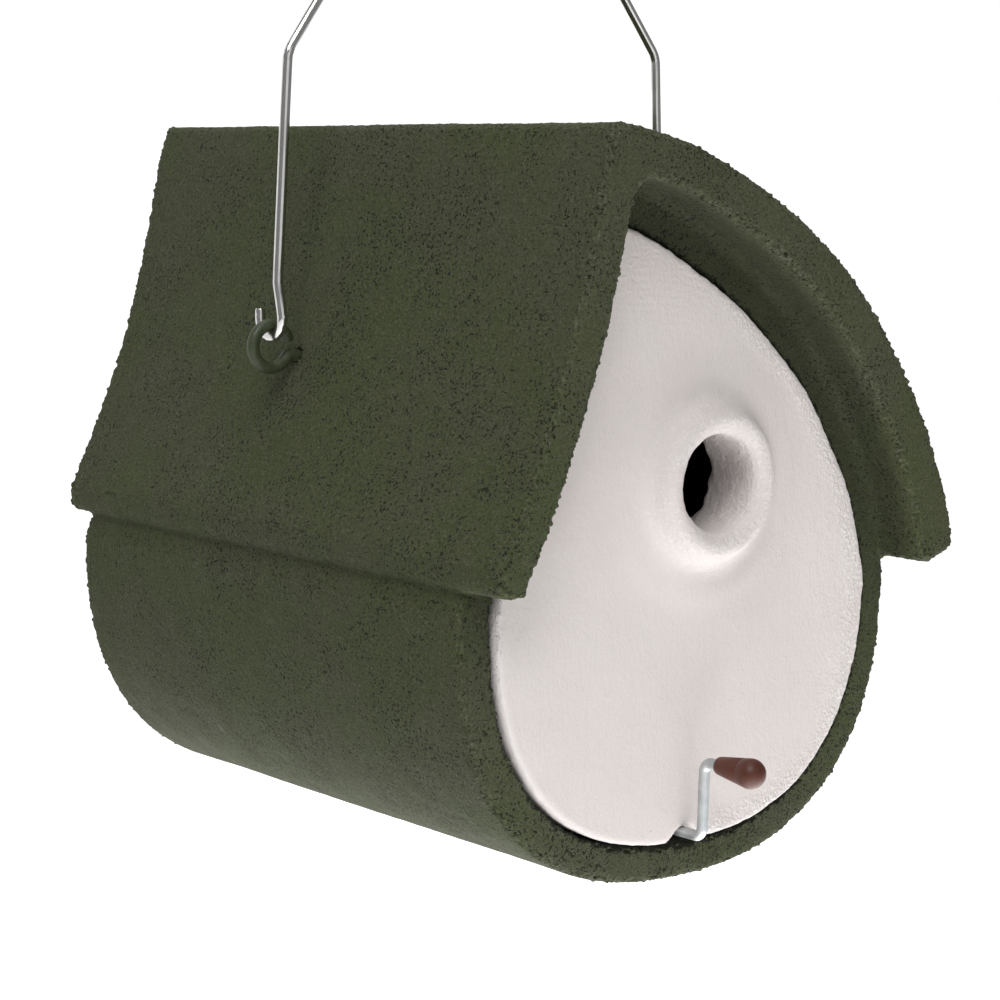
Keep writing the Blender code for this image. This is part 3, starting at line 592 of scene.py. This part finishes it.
def convexity(points, normals, ends):
    """How sharply the surface bends outward at each vertex, in radians to a metre."""
    along = points[ends[:, 1]] - points[ends[:, 0]]
    length = np.linalg.norm(along, axis=1)
    change = normals[ends[:, 1]] - normals[ends[:, 0]]
    turn = np.einsum("ij,ij->i", change, along) / np.maximum(length, WELD) ** 2
    total = np.zeros(len(points))
    count = np.bincount(ends.ravel(), minlength=len(points))
    np.add.at(total, ends[:, 0], turn)
    np.add.at(total, ends[:, 1], turn)
    return total / np.maximum(count, 1)


def arris_distance(points, arris, ends):
    """Roughly how far each vertex lies from the nearest arris, a few steps of the mesh away."""
    far = np.where(arris > 0.5, 0.0, 1.0)
    length = np.linalg.norm(points[ends[:, 1]] - points[ends[:, 0]], axis=1)
    for _ in range(ARRIS_STEPS):
        np.minimum.at(far, ends[:, 0], far[ends[:, 1]] + length)
        np.minimum.at(far, ends[:, 1], far[ends[:, 0]] + length)
    return far


def relief(points, layer, stretch=(1.0, 1.0, 1.0)):
    """Smooth noise as high as the layer says, with bumps about its distance apart."""
    size, height, shift = layer
    scaled = points * np.array(stretch) / size + shift
    return np.array([noise.noise(Vector(p)) for p in scaled]) * height


def between(values, low, high):
    """A smooth step from 0 at low to 1 at high."""
    t = np.clip((values - low) / (high - low), 0.0, 1.0)
    return t * t * (3.0 - 2.0 * t)


# Pieces

def casting():
    """The roof and barrel: wavy, grainy, and crumbled along the arrises."""
    obj = remeshed("nest_box_body", "green_casting", CASTING_VOXEL, casting_material())
    refine_arrises(obj)
    points, normals, ends = read(obj)
    bend = convexity(points, normals, ends)
    edge = np.clip(spread(between(bend, *CRUMBLED_BEND), ends, 3) * 1.6, 0.0, 1.0)
    rows = np.nonzero(edge > 0.02)[0]
    near = points[rows]
    crumble = relief(near, CRUMBS) + relief(near, CRUMB_CLUMPS)
    crumble -= CHIP_DEPTH * between(relief(near, CHIPS), *CHIP_LEVEL)
    move = relief(points, CAST_SWELL) + relief(points, CAST_DENTS)
    move += relief(points, CAST_LUMPS)
    move[rows] += edge[rows] * crumble
    write(obj, points + normals * move[:, None])
    # This arris mask lightens the edges: worn paint and a painted highlight
    worn = np.clip(spread(between(bend, *WEAR_AND_HIGHLIGHT_BEND), ends, 1) * 1.4, 0.0, 1.0)
    keep(obj, "arris", worn)
    thinned(obj, CASTING_FACES)
    declare(obj, "nest_box_body", "box")


def softened(points, ends, share):
    """The points, drawn by a share towards the average of the points around them."""
    calm = points.copy()
    for axis in range(3):
        calm[:, axis] = spread(points[:, axis], ends, BOSS_SOFTNESS)
    return points + (calm - points) * share[:, None]


def panel_coarse(points, high, away, arris, ends):
    """Where the panel's paint stands in beads: its right rims, the boss and the tip."""
    tip = between(points[:, 2], *(high.z - reach for reach in TIP_REACH))
    rim = between(points[:, 0], *(high.x - reach for reach in RIM_REACH))
    rim = rim * (points[:, 2] < high.z - RIM_BELOW_TIP)
    slope = between(arris_distance(points, arris, ends), *SLOPE_BEADS)
    slope = slope * between(points[:, 0], 0.0, 0.02)
    coarse = slope + 0.7 * between(away, *BOSS_BEADS) + 0.35 * rim + 0.1 * tip
    return np.clip(coarse, 0.0, 1.0)


def panel_relief(points, low, high, away, arris, coarse):
    """How far each of the panel's vertices moves out: lumps, ridges, bore and rim."""
    move = relief(points, PANEL_SWELL) + relief(points, PANEL_LUMPS, BRUSHED)
    move += relief(points, PANEL_STROKES, BRUSHED) + relief(points, PANEL_BEADS) * coarse
    slant = points[:, 2] + RIDGE_SLANT * points[:, 0]
    ridges = np.sin(slant / RIDGE_PERIOD * 2.0 * math.pi + relief(points, RIDGE_WANDER))
    tip = between(points[:, 2], *(high.z - reach for reach in TIP_REACH))
    move += tip * ridges * RIDGE_HEIGHT * (0.5 + relief(points, RIDGE_PATCHES))
    inside = between(away, *FUNNEL) * (points[:, 1] > low.y + 0.001)
    move += inside * (relief(points, BORE_GRAIN) + relief(points, BORE_LUMPS))
    back_edge = between(points[:, 1], high.y - 0.005, high.y - 0.001)
    move += inside * back_edge * relief(points, BORE_RAGS)
    bead = np.clip(arris * 1.3, 0.0, 1.0)
    return move + bead * (relief(points, RIM_GRAIN) + relief(points, RIM_LUMPS))


def front_plate():
    """The pale front: brushed lumps, a ridged tip, an uneven funnel and a beaded rim."""
    obj = remeshed("front_panel", "white_front", PANEL_VOXEL, panel_material())
    points, normals, ends = read(obj)
    low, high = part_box("front_panel")
    away = np.hypot(points[:, 0] - ENTRANCE_X, points[:, 2] - ENTRANCE_Z)
    turned = between(normals[:, 1], -0.97, -0.85) * between(normals[:, 1], -0.10, -0.30)
    arris = spread(turned * (away > BOSS_OUTER), ends, 2)
    front = between(points[:, 1], high.y - 0.004, high.y - 0.009)
    boss = front * between(away, *BOSS_FADE) * between(away, *BORE_EDGE)
    points = softened(points, ends, boss)
    coarse = panel_coarse(points, high, away, arris, ends)
    move = panel_relief(points, low, high, away, arris, coarse)
    write(obj, points + normals * move[:, None])
    scuff = between(points[:, 0], low.x + 0.0030, low.x + 0.0004)
    # This arris mask tints the rounded rim whiter, a painted highlight
    keep(obj, "arris", np.clip(arris, 0.0, 1.0))
    keep(obj, "coarse", coarse)
    keep(obj, "scuff", scuff * between(points[:, 1], high.y - 0.006, high.y - 0.011))
    declare(obj, "front_panel", "front")


def round_wire(node, name, diameter, material, body):
    """A packed wire with a round section, as wide as the solid's."""
    bm = welded(node)
    bmesh.ops.join_triangles(bm, faces=bm.faces, angle_face_threshold=QUAD_BEND,
                             angle_shape_threshold=QUAD_SHAPE)
    bm.normal_update()
    limit_share = (4.0 + 2.0 * math.cos(2.0 * math.pi / WIRE_SIDES)) / 6.0
    swell = diameter / 2.0 * (1.0 / limit_share - 1.0)
    for vert, out in [(v, v.normal.copy()) for v in bm.verts]:
        vert.co += out * swell
    obj = piece(name, bm, material)
    step = obj.modifiers.new("round", "SUBSURF")
    step.levels = WIRE_LEVELS
    step.render_levels = WIRE_LEVELS
    baked(obj)
    obj.data.shade_smooth()
    declare(obj, node, body)


def wires():
    """The hanger, the two eyes and the crank."""
    eye = eye_material()
    round_wire("hanger_bail", "steel_hanger", HANGER_WIRE, steel_material(), "hanger")
    round_wire("left_eye", "left_wire_eye", EYE_WIRE, eye, "box")
    round_wire("right_eye", "right_wire_eye", EYE_WIRE, eye, "box")
    round_wire("latch_wire", "zinc_crank", CRANK_WIRE, zinc_material(), "latch")


def grip_profile(length):
    """Radius and distance along the grip: a cone with a seam, and a round nose."""
    small = KNOB_SMALL / 2.0
    large = KNOB_LARGE / 2.0
    nose = length - large
    seam = KNOB_SEAM_SHARE * length
    line = [(0.0, 0.0), (small - KNOB_ROUND, 0.0),
            (small - KNOB_ROUND * 0.3, KNOB_ROUND * 0.3), (small, KNOB_ROUND)]
    for offset, depth in ((-1.0, 0.0), (-0.4, 0.6), (0.4, 0.6), (1.0, 0.0)):
        at = seam + offset * KNOB_SEAM
        line.append((small + (large - small) * at / nose - depth * KNOB_SEAM, at))
    for k in range(KNOB_NOSE_STEPS):
        turn = math.pi / 2.0 * k / KNOB_NOSE_STEPS
        line.append((large * math.cos(turn), nose + large * math.sin(turn)))
    return line + [(0.0, length)]


def grip():
    """The brown grip, turned about the crank's end."""
    low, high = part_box("latch_knob")
    middle_x, middle_z = (low.x + high.x) / 2.0, (low.z + high.z) / 2.0
    bm = bmesh.new()
    rings = []
    for radius, along in grip_profile(high.y - low.y):
        ring = []
        for k in range(KNOB_SIDES if radius else 1):
            turn = 2.0 * math.pi * k / KNOB_SIDES
            ring.append(bm.verts.new((middle_x + radius * math.cos(turn), high.y - along,
                                      middle_z + radius * math.sin(turn))))
        rings.append(ring)
    for a, b in zip(rings, rings[1:]):
        for k in range(KNOB_SIDES):
            corners = [a[k % len(a)], a[(k + 1) % len(a)], b[(k + 1) % len(b)], b[k % len(b)]]
            bm.faces.new(list(dict.fromkeys(corners)))
    bmesh.ops.recalc_face_normals(bm, faces=bm.faces)
    declare(piece("brown_grip", bm, knob_material()), "latch_knob", "latch")


def sleeve():
    """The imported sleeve, in its own plastic."""
    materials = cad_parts["latch_sleeve"].data.materials
    materials.clear()
    materials.append(sleeve_material())


# Stage

def floor_line():
    """The stage from the side: level under the object, then bent up behind it."""
    line = [Vector((0.0, -FLOOR_HALF, FLOOR_Z)), Vector((0.0, BACKDROP_Y - BACKDROP_BEND, FLOOR_Z))]
    for k in range(1, BACKDROP_STEPS + 1):
        turn = math.pi / 2 * k / BACKDROP_STEPS
        line.append(Vector((0.0, BACKDROP_Y - BACKDROP_BEND + BACKDROP_BEND * math.sin(turn),
                            FLOOR_Z + BACKDROP_BEND * (1 - math.cos(turn)))))
    return line + [Vector((0.0, BACKDROP_Y, BACKDROP_TOP))]


def stage_material():
    """A pale sheet that looks white; it also glows where the object reflects it, a painted
    reflection brighter than plain paper would give.
    """
    s = Shader("pale_stage")
    s.finish(STAGE_PALE, STAGE_ROUGHNESS)
    light = s.add("ShaderNodeLightPath")
    # The glow for glossy rays puts a painted reflection of a bright floor on the object
    seen = s.math("MAXIMUM", light.outputs["Is Camera Ray"], light.outputs["Is Glossy Ray"])
    glow = s.add("ShaderNodeEmission")
    s.join(s.math("MULTIPLY", seen, STAGE_GLOW), glow.inputs["Strength"])
    both = s.add("ShaderNodeAddShader")
    s.join(s.surface.outputs[0], both.inputs[0])
    s.join(glow.outputs[0], both.inputs[1])
    s.join(both.outputs[0], s.tree.nodes["Material Output"].inputs["Surface"])
    return s.material


def floor():
    """One pale sheet as floor and backdrop."""
    bm = bmesh.new()
    side = Vector((FLOOR_HALF, 0.0, 0.0))
    rows = [(bm.verts.new(p - side), bm.verts.new(p + side)) for p in floor_line()]
    for a, b in zip(rows, rows[1:]):
        bm.faces.new((a[0], a[1], b[1], b[0]))
    piece("stage_floor", bm, stage_material())


def lamp(name, place, size, power):
    """A square lamp, aimed at the object's middle and not seen itself."""
    data = bpy.data.lights.new(name, "AREA")
    data.shape = "SQUARE"
    data.size = size
    data.energy = power
    made = bpy.data.objects.new(name, data)
    bpy.context.scene.collection.objects.link(made)
    made.location = place
    made.visible_camera = False
    made.rotation_euler = (Vector(LAMP_TARGET) - Vector(place)).to_track_quat("-Z", "Y").to_euler()


def surround():
    """An even white world: dim as a light, and full white where it is seen."""
    world = bpy.data.worlds.new("even_surround")
    bpy.context.scene.world = world
    world.use_nodes = True
    nodes, links = world.node_tree.nodes, world.node_tree.links
    sky = nodes["Background"]
    sky.inputs["Color"].default_value = SKY_WHITE
    path = nodes.new("ShaderNodeLightPath")
    seen = nodes.new("ShaderNodeMath")
    seen.operation = "MAXIMUM"
    links.new(path.outputs["Is Camera Ray"], seen.inputs[0])
    links.new(path.outputs["Is Transmission Ray"], seen.inputs[1])
    level = nodes.new("ShaderNodeMapRange")
    links.new(seen.outputs[0], level.inputs["Value"])
    level.inputs["To Min"].default_value = SURROUND_LIGHT
    level.inputs["To Max"].default_value = SURROUND_SEEN
    links.new(level.outputs[0], sky.inputs["Strength"])


def camera():
    """The photograph's camera."""
    data = bpy.data.cameras.new("photo_camera")
    data.lens = CAMERA_LENS
    data.sensor_width = SENSOR
    data.clip_start = CLIP_NEAR
    data.clip_end = CLIP_FAR
    made = bpy.data.objects.new("photo_camera", data)
    bpy.context.scene.collection.objects.link(made)
    turn = Matrix.Rotation(math.radians(-CAMERA_TURN), 4, "Z")
    tilt = Matrix.Rotation(math.radians(90.0 - CAMERA_DROP), 4, "X")
    roll = Matrix.Rotation(math.radians(CAMERA_ROLL), 4, "Z")
    made.matrix_world = Matrix.Translation(CAMERA_PLACE) @ turn @ tilt @ roll
    bpy.context.scene.camera = made


bpy.context.scene.view_settings.view_transform = "Standard"
casting()
front_plate()
wires()
grip()
sleeve()
floor()
for settings in LAMPS:
    lamp(*settings)
surround()
camera()
